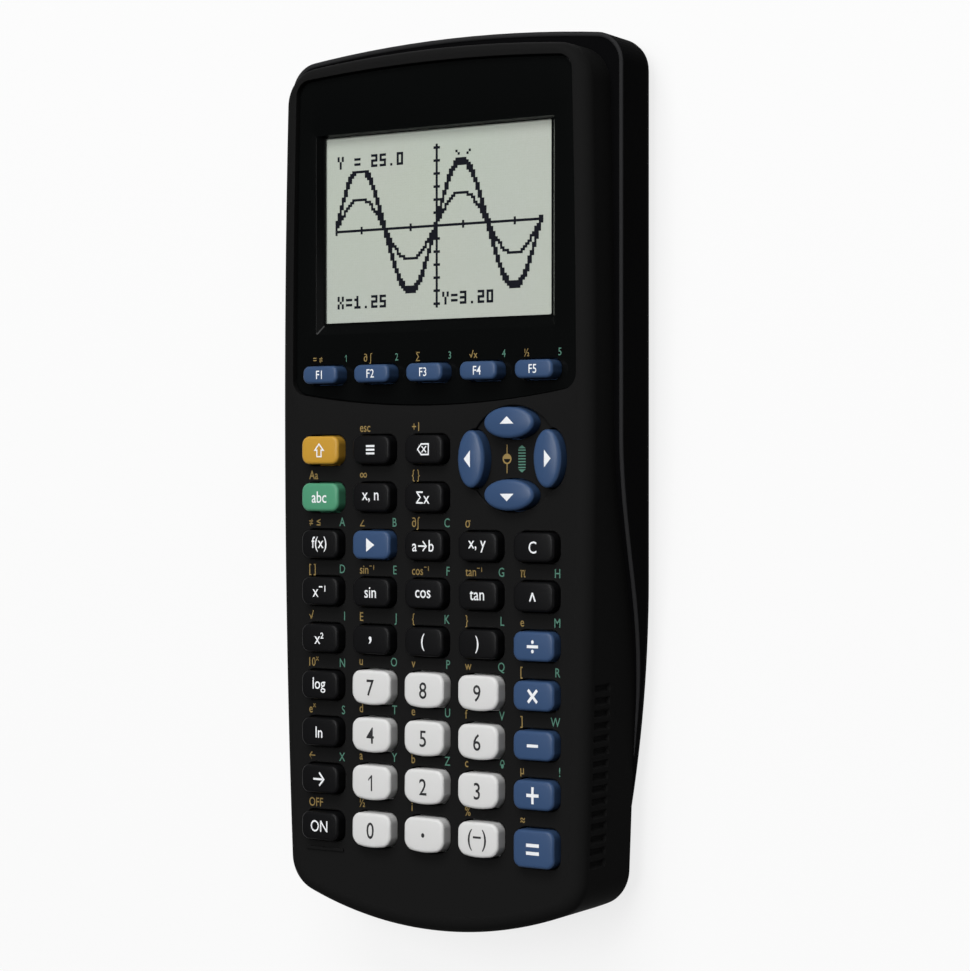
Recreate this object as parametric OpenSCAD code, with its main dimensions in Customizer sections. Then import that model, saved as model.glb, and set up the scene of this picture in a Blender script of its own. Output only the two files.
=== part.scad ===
// Graphing calculator lying on its back: +X right, +Y toward the screen, +Z out of the face.
// The origin is under the middle of the body, where the rubber feet stand. Millimetres.

/* [Front case] */
// Width of the front case
front_w = 78.8; // [78.6:0.1:80]
// From the bottom row of keys to the chin
chin_l = 20.1; // [19.5:0.1:22]
// From the display panel to the top edge
top_l = 3.1; // [2.6:0.1:4]
// Thickness of the face
plate_t = 3.1; // [2.8:0.1:3.4]
// Thickness of the side walls
front_wall = 2.8; // [2.6:0.1:3]
// Thickness of the wall at the chin
chin_wall = 4.7; // [4:0.1:6]
// Width of the rounded edge around the face
edge_w = 4; // [3.6:0.1:4.2]
// Drop of the rounded edge around the face
edge_drop = 2.6; // [2:0.1:3.2]
// How far the wall flares below the rounded edge
flare = 0.5; // [0:0.1:0.8]
// Depth of the dish under the arrow keys
dish_depth = 0.7; // [0.3:0.1:1]
// Number of grip grooves on each side
groove_count = 15; // [6:1:17]
// Distance between grip grooves
groove_pitch = 2.5; // [2.2:0.1:2.7]
// Width of a grip groove
groove_w = 1.2; // [0.8:0.1:1.6]
// Depth of a grip groove
groove_depth = 0.8; // [0.4:0.1:1.2]

/* [Rear case] */
// How far the rear case stands out beyond the front case at the sides
ledge_w = 1.3; // [1.1:0.1:2]
// How far the rear case stands out beyond the front case at the top
top_ledge_w = 3; // [2:0.1:4]
// How far the rear case stops short of the chin
chin_overhang = 2.5; // [2:0.1:4]
// Thickness of the rear case
rear_wall = 2.2; // [2:0.1:2.8]
// Radius of the back edge
back_r = 4; // [3:0.5:4.5]
// Depth of the parting line below the face, beside the screen
part_high = 8.4; // [7:0.1:9]
// Depth of the parting line below the face, beside the lower keys
part_low = 17; // [15:0.1:17.2]
// Diameter of a rubber foot
foot_d = 8; // [6:0.5:9]
// Height of a rubber foot below the back
foot_h = 0.9; // [0.5:0.1:1.5]
// Depth of the recess that holds a foot
foot_seat = 0.5; // [0.3:0.1:0.8]

/* [Keys] */
// From the top row of keys to the display panel
panel_gap = 9.1; // [8.6:0.1:10]
// Distance between key columns
col_pitch = 13; // [12.6:0.1:13.2]
// Distance between key rows
row_pitch = 9.85; // [9.7:0.05:10]
// Width of a function key
fkey_w = 8.8; // [8:0.1:9.2]
// Height of a function key
fkey_h = 3.7; // [3.6:0.1:4.4]
// Width of a standard key
key_w = 9.4; // [8.4:0.1:9.6]
// Height of a standard key
key_h = 5.9; // [5:0.1:6.4]
// Width of a number key
num_w = 9.6; // [9:0.1:10]
// Height of a number key at its middle
num_h = 7.2; // [6.6:0.1:7.4]
// Height of the enter key
enter_h = 7.6; // [7:0.1:8]
// Length of an arrow key
arrow_l = 11.6; // [11:0.1:11.8]
// Width of an arrow key
arrow_w = 6.3; // [5.6:0.1:6.4]
// Corner radius of the keys
key_r = 1.8; // [1.2:0.1:1.8]
// How far the keys stand above the face
key_rise = 2.4; // [1.6:0.1:2.8]
// Radius of the crown of a key
crown_r = 30; // [20:1:60]
// How far a key travels when pressed
travel = 1.2; // [0.8:0.1:1.6]
// Clearance between a key and its hole, and under and over its flange
key_gap = 0.3; // [0.25:0.05:0.4]
// Thickness of the flange that keeps a key in
flange_t = 1.2; // [1:0.1:1.4]
// How far the flange stands out
flange_w = 0.9; // [0.7:0.1:1]
// Thickness of the skirt under a key
skirt = 0.8; // [0.6:0.05:0.85]
// Thickness of the web that joins a key to its skirt
web_t = 0.5; // [0.4:0.1:0.7]

/* [Display] */
// Width of the display panel
panel_w = 68; // [66:0.5:69]
// Thickness of the display panel
panel_t = 1.2; // [1:0.1:1.4]
// How far the panel lies below the face
panel_drop = 1; // [0.6:0.05:1.1]
// From the viewing area to the lower edge of the panel
below_view = 17.7; // [17.2:0.1:19]
// From the viewing area to the top of the panel
above_view = 13.5; // [12:0.1:16]
// Width of the viewing area
view_w = 55.4; // [52:0.2:56]
// Height of the viewing area
view_h = 39.1; // [37:0.1:40]
// Width of the side bevels around the viewing area
bevel_side = 1.5; // [1:0.1:1.6]
// Width of the bevel below the viewing area
bevel_low = 2.5; // [1.5:0.1:2.6]
// Depth of the bevel below the panel
bevel_depth = 1.6; // [1.3:0.05:1.7]
// Thickness of the window
window_t = 0.8; // [0.6:0.1:1]

/* [Board and mat] */
// Thickness of the circuit board
board_t = 1.6; // [1:0.1:1.8]
// Thickness of the keypad mat
mat_t = 1.1; // [0.7:0.1:1.3]
// Diameter of a mat dome
dome_d = 3; // [2.6:0.1:3.2]
// Bore of a mat dome
dome_bore = 2.2; // [2:0.1:2.4]
// Bore of the link socket
jack_d = 2.6; // [2.5:0.05:2.7]
// Depth of the link socket
jack_l = 11; // [9:0.5:12]

/* [Batteries] */
// Diameter of a cell
cell_d = 10.5; // [10:0.1:10.8]
// Length of a cell
cell_l = 44.5; // [43:0.5:45]
// Clearance around a cell
cell_gap = 0.15; // [0.1:0.05:0.3]
// Room for the contacts at each end of a cell
contact_room = 2.6; // [2:0.1:3]
// Diameter of the backup cell
coin_d = 16; // [14:0.5:17]
// Thickness of the backup cell
coin_t = 1.6; // [1.2:0.1:2]
// Thickness of the battery cover
cover_t = 1.6; // [1.4:0.1:2]
// Clearance around the battery cover
cover_gap = 0.3; // [0.2:0.05:0.4]
// Width of the seat around the battery cover
cover_seat = 1.2; // [0.9:0.1:1.6]
// Thickness of the roof over the cells
roof_t = 0.8; // [0.7:0.1:1.2]

/* [Screws] */
// Diameter of a screw shank
screw_d = 2; // [1.6:0.1:2.2]
// Diameter of a screw head
head_d = 4.2; // [3.6:0.1:4.4]
// Height of a screw head
head_h = 1.5; // [1.2:0.1:1.8]
// Diameter of the bosses
boss_d = 5.6; // [5.4:0.1:6]

/* [Hidden] */
$fn = 48;

// Heights, from the back upward.
fit = 0.1;                                             // between pieces that seat on each other
layer = 1;                                             // thickness of the slabs that shape an edge
glue = 0.05;                                           // film of glue over a foot
back_z = foot_h;                                       // outside of the back
cover_z = back_z + cover_t;                            // inside of the battery cover
cell_z = cover_z + cell_gap + cell_d / 2;              // axis of the cells
roof_z = cell_z + cell_d / 2 + cell_gap;               // under the roof over the cells
board_z = roof_z + roof_t + fit;                       // under the circuit board
mat_z = board_z + board_t;                             // under the keypad mat
mat_top = mat_z + mat_t;
post_z = mat_top + travel + key_gap;                   // end of a key's post, at rest
flange_z = post_z + fit;                               // under a key's flange
skirt_z = flange_z + flange_t - web_t;                 // inside of a key's skirt
dome_top = skirt_z - travel - key_gap;
plate_z = flange_z + flange_t + key_gap;               // under the face
face_z = plate_z + plate_t;
key_top = face_z + key_rise;
panel_top = face_z - panel_drop;
panel_z = panel_top - panel_t;
window_top = panel_top - bevel_depth;
window_z = window_top - window_t;
split_z = 12;                                          // where front and rear bosses meet
head_seat = back_z + rear_wall + 2;                    // under a screw head

// Plan of the cases: the length is what the keys and the display need.
rows = 8;                                              // steps from the top row to the bottom row
panel_l = below_view + view_h + above_view;
front_l = chin_l + rows * row_pitch + panel_gap + panel_l + top_l;
low_y = -(front_l + top_ledge_w) / 2;                  // chin of the front case
high_y = low_y + front_l;                              // top of the front case
rear_high = high_y + top_ledge_w;
rear_low = low_y + chin_overhang;
rear_w = front_w + 2 * ledge_w;
arch_r = 300;                                          // top edge, seen from the front
chin_r = 85;                                           // chin, seen from the front
taper_y = low_y + 72.2;                                // where the sides begin to draw in
front_taper_r = 600;
rear_taper_r = 300;
back_taper_r = 160;                                    // the back draws in faster
part_y0 = low_y + 102.2;                               // upper end of the sweep in the parting line
part_y1 = low_y + 47.2;                                // lower end of the sweep
lip_t = 1.8;                                           // thickness of the rim under the front case
groove_y = low_y + 51.2;                               // first grip groove

// Display.
panel_high = high_y - top_l;
panel_low = panel_high - panel_l;
panel_high_r = 370;
panel_low_r = 190;
panel_corner = 2.5;
view_y = panel_low + below_view;                       // lower edge of the viewing area
bevel_top = 0.5;
frame_t = 1.4;                                         // frame that reaches down to the window
frame_w = view_w + 2 * bevel_side + 2 * frame_t;
frame_y = view_y - bevel_low - frame_t;
frame_h = view_h + bevel_low + bevel_top + 2 * frame_t;

// Keys: the rows count down from the row below the screen.
top_row_y = panel_low - panel_gap;
fkey_y = panel_low + 6.7;
pad_x = 20;                                            // middle of the arrow keys
pad_y = top_row_y - 2.05;
pad_reach_x = 8.9;
pad_reach_y = 7.25;
dish_d = 21.5;
bar_l = 9.5;                                           // raised bar under the lowest key on the left
bar_w = 0.7;
num_bulge = 0.8;
post_d = dome_bore - 2 * key_gap;

// Batteries, cover and hinge.
pocket_w = 4 * (cell_d + 2 * cell_gap) + 1;
pocket_l = cell_l + 2 * contact_room;
pocket_high = high_y - 12.4;
pocket_y = pocket_high - pocket_l;
coin_y = pocket_y - 1.5 - coin_d / 2 - 0.5;            // middle of the backup cell
cover_low = coin_y - coin_d / 2 - 1.5;
cover_high = pocket_high + cover_seat;
cover_w = pocket_w + 2 * cover_seat;
tab_w = 6;
tab_l = 2;
tab_x = 14;
tab_t = 1;
scoop_r = 5.5;                                         // finger scoop at the free end of the cover

boss_places = [
    for (side = [-1, 1], p = [[32.6, high_y - 8.7], [33.1, panel_low + 1.2], [19.5, low_y + 11]])
    [side * p[0], p[1]]
];
foot_places = [for (side = [-1, 1], p = [[31.5, high_y - 19.2], [24, low_y + 32.2]]) [side * p[0], p[1]]];

// Board and mat.
board_half = 31.8;
board_low = low_y + chin_wall + 7.5;
board_high = high_y - 5.7;
board_post_d = 5;
board_posts = [for (side = [-20, 20], y = [low_y + 32.2, low_y + 67.2]) [side, y]];

blue = "#37527f";
black = "#1c1c1e";
light_grey = "#d4d4d2";

function col_x(c) = (c - 2) * col_pitch;
function row_y(r) = top_row_y - r * row_pitch;

// Each key: name, kind, place.
KEYS = concat(
    [for (c = [0:4]) [str("key_f", c + 1), "function", [col_x(c), fkey_y]]],
    [
        ["key_up", "across", [pad_x, pad_y + pad_reach_y]],
        ["key_down", "across", [pad_x, pad_y - pad_reach_y]],
        ["key_left", "upright", [pad_x - pad_reach_x, pad_y]],
        ["key_right", "upright", [pad_x + pad_reach_x, pad_y]],
    ],
    grid_row(0, ["key_second", "key_mode", "key_delete"], ["gold", "black", "black"]),
    grid_row(1, ["key_alpha", "key_variable", "key_lists"], ["green", "black", "black"]),
    grid_row(2, ["key_math", "key_apps", "key_program", "key_vars", "key_clear"],
        ["black", "blue", "black", "black", "black"]),
    grid_row(3, ["key_reciprocal", "key_sin", "key_cos", "key_tan", "key_power"],
        ["black", "black", "black", "black", "black"]),
    grid_row(4, ["key_square", "key_comma", "key_open_bracket", "key_close_bracket", "key_divide"],
        ["black", "black", "black", "black", "blue"]),
    grid_row(5, ["key_log", "key_7", "key_8", "key_9", "key_multiply"],
        ["black", "number", "number", "number", "blue"]),
    grid_row(6, ["key_ln", "key_4", "key_5", "key_6", "key_minus"],
        ["black", "number", "number", "number", "blue"]),
    grid_row(7, ["key_store", "key_1", "key_2", "key_3", "key_plus"],
        ["black", "number", "number", "number", "blue"]),
    grid_row(8, ["key_on", "key_0", "key_point", "key_negate", "key_enter"],
        ["black", "number", "number", "number", "enter"])
);

function grid_row(r, names, kinds) = [
    for (c = [0:len(names) - 1])
    [names[c], kinds[c], [col_x(c), row_y(r) - (kinds[c] == "enter" ? (enter_h - key_h) / 2 : 0)]]
];

// ---- Shapes shared by several pieces ----

// Plan of a case: arched top, bowed chin and sides that draw in toward the chin.
module case_plan(half_w, high, low, taper_r, corner) {
    offset(r = corner)
    offset(delta = -corner)
    intersection() {
        translate([0, high - arch_r]) circle(r = arch_r, $fn = 360);
        union() {
            translate([0, low + chin_r]) circle(r = chin_r, $fn = 120);
            translate([-half_w, low + chin_r]) square([2 * half_w, high - low]);
        }
        union() {
            translate([-half_w, taper_y]) square([2 * half_w, high - taper_y]);
            intersection() {
                translate([half_w - taper_r, taper_y]) circle(r = taper_r, $fn = 480);
                translate([taper_r - half_w, taper_y]) circle(r = taper_r, $fn = 480);
            }
        }
    }
}

module front_plan(inset) {
    case_plan(front_w / 2 - inset, high_y - inset, low_y + inset, front_taper_r, 8 - inset);
}

// Plan of the hollow that both cases share.
module hollow_plan() {
    case_plan(front_w / 2 - front_wall, high_y - front_wall, low_y + chin_wall, front_taper_r, 5);
}

module rear_plan(inset, taper_r) {
    case_plan(rear_w / 2 - inset, rear_high - inset, rear_low + inset, taper_r, 6.5 - inset / 2);
}

// Height of the parting line: it sweeps down beside the keys.
function ease(t) = t * t * (3 - 2 * t);
function part_z(y) = face_z - part_high
    - (part_low - part_high) * ease(max(0, min(1, (part_y0 - y) / (part_y0 - part_y1))));

// Everything above the parting line, or below it when `above` is false, moved down by `drop`.
module parted(above, drop = 0) {
    edge = above ? 60 : -20;
    steps = 20;
    sweep = [
        for (i = [0:steps])
        let (y = part_y0 + (part_y1 - part_y0) * i / steps)
        [y, part_z(y) - drop]
    ];
    rotate([90, 0, 90])
    linear_extrude(height = 200, center = true)
    polygon(concat(
        [[150, edge], [150, part_z(150) - drop]],
        sweep,
        [[-150, part_z(-150) - drop], [-150, edge]]
    ));
}

module rounded(w, h, r) {
    square([w - 2 * r, h], center = true);
    square([w, h - 2 * r], center = true);
    for (x = [-1, 1], y = [-1, 1]) translate([x * (w / 2 - r), y * (h / 2 - r)]) circle(r = r);
}

module oval(w, h) {
    polygon([for (a = [0:10:350]) [w / 2 * cos(a), h / 2 * sin(a)]]);
}

// Number key: a straight top and a lower edge that bulges by a parabola.
module number_shape(grow) {
    half = num_w / 2 + grow;
    high = (num_h - num_bulge) / 2 + grow;
    r = key_r + grow;
    corner = [for (a = [0:15:90]) r * [cos(a), sin(a)]];
    right = concat(
        [for (i = [0:6]) [half - r + corner[6 - i][0], high - r + corner[6 - i][1]]],
        [for (i = [0:6]) [half - r + corner[i][0], r - high - corner[i][1]]],
        [for (i = [1:7]) [(half - r) * (1 - i / 8), -high]]
    );
    bulged = [
        for (p = right)
        [p[0], p[1] + num_bulge / 2 + (p[1] < 0 ? p[1] / high * num_bulge * (1 - pow(p[0] / half, 2)) : 0)]
    ];
    polygon(concat(bulged, [for (i = [len(bulged) - 1:-1:0]) [-bulged[i][0], bulged[i][1]]]));
}

// Outline of a key, grown all round.
module key_shape(kind, grow) {
    if (kind == "function") rounded(fkey_w + 2 * grow, fkey_h + 2 * grow, key_r + grow);
    else if (kind == "number") number_shape(grow);
    else if (kind == "enter") rounded(key_w + 2 * grow, enter_h + 2 * grow, key_r + grow);
    else if (kind == "across") oval(arrow_l + 2 * grow, arrow_w + 2 * grow);
    else if (kind == "upright") oval(arrow_w + 2 * grow, arrow_l + 2 * grow);
    else rounded(key_w + 2 * grow, key_h + 2 * grow, key_r + grow);
}

function flange_grow(kind) = kind == "across" || kind == "upright" ? flange_w - 0.2 : flange_w;

function key_colour(kind) =
    kind == "number" ? light_grey
    : kind == "gold" ? "#be8c28"
    : kind == "green" ? "#3c8c5f"
    : kind == "black" ? black
    : blue;

module panel_plan(grow) {
    offset(r = panel_corner + grow)
    offset(delta = -panel_corner)
    intersection() {
        translate([0, panel_high - panel_high_r]) circle(r = panel_high_r, $fn = 360);
        translate([0, panel_low + panel_low_r]) circle(r = panel_low_r, $fn = 240);
        translate([-panel_w / 2, panel_low]) square([panel_w, panel_high - panel_low]);
    }
}

module at_bosses() {
    for (p = boss_places) translate(p) children();
}

module block(x0, x1, y0, y1, z0, z1) {
    translate([x0, y0, z0]) cube([x1 - x0, y1 - y0, z1 - z0]);
}

// ---- Pieces ----

// Outside of the front case: elliptical edge around the face, then a wall that flares.
module front_outside() {
    hull() {
        for (a = [0:18:90])
            translate([0, 0, face_z - edge_drop * (1 - cos(a)) - layer])
            linear_extrude(height = layer)
            front_plan(flare + edge_w * (1 - sin(a)));
        translate([0, 0, face_z - part_low - 2])
            linear_extrude(height = 1 + part_low - part_high) front_plan(0);
    }
}

// Half width of the front case at y.
function front_half(y) = front_w / 2
    - (y < taper_y ? front_taper_r - sqrt(pow(front_taper_r, 2) - pow(y - taper_y, 2)) : 0);

module front_case() {
    color("#242426")
    difference() {
        union() {
            difference() {
                intersection() {
                    front_outside();
                    parted(true);
                }
                translate([0, 0, -1]) linear_extrude(height = plate_z + 1) hollow_plan();
            }
            at_bosses() translate([0, 0, split_z]) cylinder(d = boss_d, h = plate_z - split_z + 0.5);
            // Raised bar under the lowest key of the left column.
            translate([col_x(0), row_y(rows) - key_h / 2 - 2, face_z]) cube([bar_l, bar_w, 0.8], center = true);
        }
        at_bosses() translate([0, 0, split_z - 1]) cylinder(d = screw_d + 0.1, h = 6);
        for (k = KEYS)
            translate([k[2][0], k[2][1], plate_z - 1])
            linear_extrude(height = plate_t + 3)
            key_shape(k[1], key_gap);
        translate([pad_x, pad_y, face_z - dish_depth]) cylinder(d = dish_d, h = 5);
        translate([0, 0, panel_z]) linear_extrude(height = 5) panel_plan(fit);
        block(-frame_w / 2 - fit, frame_w / 2 + fit, frame_y - fit, frame_y + frame_h + fit,
            plate_z - 1, face_z + 1);
        for (side = [-1, 1], i = [0:groove_count - 1])
            translate([
                side * front_half(groove_y - i * groove_pitch),
                groove_y - i * groove_pitch,
                face_z - edge_drop - 1.6
            ])
            cube([2 * groove_depth, groove_w, 3.6], center = true);
        translate([0, low_y + chin_wall + 1, jack_z()])
            rotate([90, 0, 0]) cylinder(d = jack_barrel() + 2 * fit, h = chin_wall + 3);
    }
}

// The link socket hangs under the board and opens through the chin.
function jack_barrel() = jack_d + 2.4;
function jack_z() = board_z - 0.4 - jack_barrel() / 2;

module rear_outside() {
    hull() {
        for (a = [0:18:72])
            translate([0, 0, back_z + back_r * (1 - cos(a))])
            linear_extrude(height = layer)
            rear_plan(back_r * (1 - sin(a)), back_taper_r + (rear_taper_r - back_taper_r) * a / 90);
        translate([0, 0, back_z + back_r])
            linear_extrude(height = face_z - part_high - back_z - back_r) rear_plan(0, rear_taper_r);
    }
}

module feet() {
    for (p = foot_places) translate(p) cylinder(d = foot_d, h = foot_h + foot_seat - glue);
}

module rear_case() {
    color("#161618")
    difference() {
        union() {
            difference() {
                intersection() {
                    rear_outside();
                    parted(false);
                }
                intersection() {
                    translate([0, 0, back_z + rear_wall])
                        linear_extrude(height = 40) rear_plan(rear_wall + 2.5, back_taper_r);
                    parted(false, lip_t);
                }
                intersection() {
                    translate([0, 0, back_z + rear_wall])
                        linear_extrude(height = 40) rear_plan(rear_wall + 2.5, back_taper_r);
                    linear_extrude(height = 60) hollow_plan();
                }
            }
            // Walls and roof of the battery compartment.
            block(-cover_w / 2 - cover_seat, cover_w / 2 + cover_seat,
                cover_low - tab_l - 2, cover_high + cover_seat, cover_z, roof_z + roof_t);
            at_bosses() translate([0, 0, back_z + 1]) cylinder(d = boss_d, h = split_z - back_z - 1);
            for (p = board_posts)
                translate([p[0], p[1], back_z + 1]) cylinder(d = board_post_d, h = board_z - back_z - 1);
        }
        // Opening for the cover.
        block(-cover_w / 2 - cover_gap, cover_w / 2 + cover_gap, cover_low - cover_gap,
            cover_high + cover_gap, back_z - 1, cover_z);
        // Hollow for the four cells.
        block(-pocket_w / 2, pocket_w / 2, pocket_y, pocket_high, cover_z - 1, roof_z);
        // Seat for the backup cell.
        translate([0, coin_y, cover_z - 1]) cylinder(d = coin_d + 0.4, h = 1.5 + coin_t);
        // Room for the hinge tabs of the cover.
        for (x = [-1, 1])
            translate([x * tab_x - tab_w / 2 - 0.4, cover_low - tab_l - 0.6, cover_z + fit])
            cube([tab_w + 0.8, tab_l + 3.6, 3]);
        for (x = [-1, 1])
            translate([x * tab_x - tab_w / 2 - 0.4, cover_low - cover_gap, cover_z - 1])
            cube([tab_w + 0.8, 3.3, 2]);
        // Finger scoop at the free end of the cover.
        translate([0, cover_high + cover_gap - 1, back_z - 3]) sphere(r = scoop_r);
        at_bosses() {
            translate([0, 0, -1]) cylinder(d = head_d + 0.6, h = head_seat + 1);
            cylinder(d = screw_d + 0.4, h = split_z + 1);
        }
        for (p = foot_places)
            translate([p[0], p[1], -1]) cylinder(d = foot_d + 0.3, h = back_z + foot_seat + 1);
        translate([0, rear_low + rear_wall + 1, jack_z()])
            rotate([90, 0, 0]) cylinder(d = jack_barrel() + 2 * fit, h = 8);
    }
    color("#0e0e0e") feet();
}

module display_bezel() {
    color("#070708")
    difference() {
        union() {
            translate([0, 0, panel_z]) linear_extrude(height = panel_t) panel_plan(0);
            block(-frame_w / 2, frame_w / 2, frame_y, frame_y + frame_h, window_top, panel_top);
        }
        hull() {
            block(-view_w / 2, view_w / 2, view_y, view_y + view_h, window_top - 0.02, window_top);
            block(-view_w / 2 - bevel_side, view_w / 2 + bevel_side, view_y - bevel_low,
                view_y + view_h + bevel_top, panel_top, panel_top + 0.02);
        }
        for (k = KEYS)
            if (k[1] == "function")
                translate([k[2][0], k[2][1], panel_z - 1]) linear_extrude(height = 5)
                key_shape(k[1], key_gap);
    }
}

module display_window() {
    color("#dfe6e2", 0.3)
    block(-frame_w / 2, frame_w / 2, frame_y, frame_y + frame_h, window_z, window_top);
}

module lcd_module() {
    color("#a9b3a2") {
        block(-frame_w / 2, frame_w / 2, frame_y + 0.5, frame_y + frame_h + 0.5, mat_z, window_z - 1.4);
        block(-view_w / 2 - 1.2, view_w / 2 + 1.2, view_y - 1.4, view_y + view_h + 1, window_z - 1.5,
            window_z - fit);
    }
}

module circuit_board() {
    color("#2c6b45")
    difference() {
        union() {
            block(-board_half, board_half, board_low, board_high, board_z, mat_z);
            // Link socket.
            block(-3.4, 3.4, board_low - 0.5, board_low + 9, jack_z() - 2.5, board_z + 0.2);
            translate([0, board_low + 1, jack_z()])
                rotate([90, 0, 0]) cylinder(d = jack_barrel(), h = board_low + 1 - low_y - 0.8);
            // Processor, memory and display driver.
            block(-9, 9, board_low + 36, board_low + 50, board_z - 1.4, board_z + 0.1);
            block(-6, 6, board_low + 61, board_low + 69, board_z - 1.4, board_z + 0.1);
            block(12, 17, board_low + 66, board_low + 72, board_z - 1, board_z + 0.1);
        }
        at_bosses() translate([0, 0, board_z - 1]) cylinder(d = boss_d + 0.6, h = board_t + 2);
        translate([0, low_y + jack_l + 0.8, jack_z()]) rotate([90, 0, 0]) cylinder(d = jack_d, h = 40);
    }
    // Contact plates and springs at the ends of the cells.
    color("#c9c9c6")
    for (i = [0:3]) {
        x = cell_x(i);
        block(x - 4, x + 4, pocket_y, pocket_y + 0.4, cell_z - 4, cell_z + 4);
        block(x - 4, x + 4, pocket_high - 0.4, pocket_high, cell_z - 4, cell_z + 4);
        spring_y = i % 2 == 0 ? pocket_y + 0.4 : pocket_high - 0.4;
        translate([x, spring_y, cell_z])
        rotate([i % 2 == 0 ? -90 : 90, 0, 0])
        cylinder(d1 = 6.4, d2 = 4.4, h = contact_room - 0.5);
    }
}

function cell_x(i) = (i - 1.5) * (cell_d + 2 * cell_gap);

module keypad_mat() {
    color("#6b6b6e")
    difference() {
        union() {
            block(-board_half, board_half, board_low + 1, frame_y - 1.5, mat_z, mat_top);
            for (k = KEYS)
                translate([k[2][0], k[2][1], mat_z])
                cylinder(d = dome_d, h = dome_top - mat_z);
        }
        for (k = KEYS) translate([k[2][0], k[2][1], mat_top]) cylinder(d = dome_bore, h = 4);
        at_bosses() translate([0, 0, mat_z - 1]) cylinder(d = boss_d + 0.6, h = 4);
    }
}

module battery_cover() {
    color("#18181a")
    union() {
        block(-cover_w / 2, cover_w / 2, cover_low, cover_high, back_z, cover_z - fit);
        for (x = [-1, 1])
            translate([x * tab_x - tab_w / 2, cover_low - tab_l, cover_z + 2 * fit])
            cube([tab_w, tab_l + 2, tab_t]);
        for (x = [-1, 1])
            translate([x * tab_x - tab_w / 2, cover_low, back_z + 0.5])
            cube([tab_w, 2, cover_z + 2 * fit + tab_t - back_z - 0.5]);
    }
}

module batteries() {
    color("#8a8d90")
    for (i = [0:3])
        translate([cell_x(i), (pocket_y + pocket_high) / 2, cell_z])
        rotate([i % 2 == 0 ? -90 : 90, 0, 0]) {
            translate([0, 0, -cell_l / 2]) cylinder(d = cell_d, h = cell_l);
            cylinder(d = 3.8, h = cell_l / 2 + contact_room - 0.6);
        }
    color("#b9bcbe")
    translate([0, coin_y, cover_z + 0.4]) cylinder(d = coin_d, h = coin_t);
}

module case_screws() {
    color("#3a3a3c")
    at_bosses() difference() {
        union() {
            translate([0, 0, head_seat - head_h]) cylinder(d = head_d, h = head_h);
            translate([0, 0, head_seat - 0.1]) cylinder(d = screw_d, h = split_z + 4.5 - head_seat);
        }
        for (turn = [0, 90])
            rotate([0, 0, turn]) translate([0, 0, head_seat - head_h]) cube([2.4, 0.6, 1.2], center = true);
    }
}

// One key: crowned cap, flange, skirt and the post that presses the mat.
module keycap(kind, place) {
    color(key_colour(kind))
    translate([place[0], place[1], 0])
    union() {
        difference() {
            union() {
                intersection() {
                    translate([0, 0, flange_z])
                        linear_extrude(height = key_top - flange_z) key_shape(kind, 0);
                    translate([0, 0, key_top - crown_r]) sphere(r = crown_r, $fn = 96);
                }
                translate([0, 0, flange_z])
                    linear_extrude(height = flange_t) key_shape(kind, flange_grow(kind));
            }
            translate([0, 0, flange_z - 1])
                linear_extrude(height = skirt_z - flange_z + 1) key_shape(kind, flange_grow(kind) - skirt);
        }
        translate([0, 0, post_z]) cylinder(d = post_d, h = skirt_z - post_z + 0.1);
    }
}

front_case();
rear_case();
display_bezel();
display_window();
lcd_module();
circuit_board();
keypad_mat();
battery_cover();
batteries();
case_screws();
for (k = KEYS) keycap(k[1], k[2]);
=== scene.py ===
import math

import bmesh
import bpy
import numpy as np
from mathutils import Matrix, Vector
from mathutils.geometry import delaunay_2d_cdt


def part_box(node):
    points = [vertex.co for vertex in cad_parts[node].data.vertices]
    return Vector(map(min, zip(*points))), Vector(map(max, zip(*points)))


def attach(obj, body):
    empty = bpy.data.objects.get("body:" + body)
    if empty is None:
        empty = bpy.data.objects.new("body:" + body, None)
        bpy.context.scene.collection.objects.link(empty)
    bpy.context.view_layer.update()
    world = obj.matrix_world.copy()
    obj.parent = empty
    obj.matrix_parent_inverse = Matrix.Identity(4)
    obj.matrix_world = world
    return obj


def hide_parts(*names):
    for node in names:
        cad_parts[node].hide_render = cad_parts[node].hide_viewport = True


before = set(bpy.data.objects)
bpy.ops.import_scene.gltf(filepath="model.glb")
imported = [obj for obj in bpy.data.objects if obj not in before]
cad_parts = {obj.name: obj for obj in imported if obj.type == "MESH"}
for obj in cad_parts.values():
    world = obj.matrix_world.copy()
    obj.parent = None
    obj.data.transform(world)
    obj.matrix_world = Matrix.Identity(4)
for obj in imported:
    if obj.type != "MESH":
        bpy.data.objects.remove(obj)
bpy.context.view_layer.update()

# ---------------------------------------------------------------------------
# Camera. It stands to the right of the calculator, level with its middle, and
# looks at the keys from a third of the way round. The flat face of the front
# case, which it looks at, lies 2.4 mm below the tops of the keys.
# ---------------------------------------------------------------------------
scene = bpy.context.scene
MM = 0.001
key_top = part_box("key_on")[1][2]
face_z = key_top - 2.4 * MM
view_turn = math.radians(31.763)
view_distance = 493.885 * MM
view_point = Vector((12.895 * MM, -0.7 * MM, face_z - 0.9 * MM))
toward_camera = Vector((math.sin(view_turn), 0, math.cos(view_turn)))
camera_data = bpy.data.cameras.new("camera")
camera_data.lens = 90.48
camera = bpy.data.objects.new("camera", camera_data)
camera_place = Matrix.Translation(view_point + view_distance * toward_camera)
camera.matrix_world = camera_place @ Matrix.Rotation(view_turn, 4, "Y")
scene.collection.objects.link(camera)
scene.camera = camera

# ---------------------------------------------------------------------------
# Front case: the black moulding that carries the keys. One flat face with a
# soft elliptical edge, a hole for each key, a pocket for the display panel, a
# dish under the arrows, and side walls down to a parting line that sweeps.
# ---------------------------------------------------------------------------
front_low, front_high = (np.array(corner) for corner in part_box("front_case"))
rear_high = np.array(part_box("rear_case")[1])
part_top = rear_high[2]
part_bottom = front_low[2]
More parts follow.
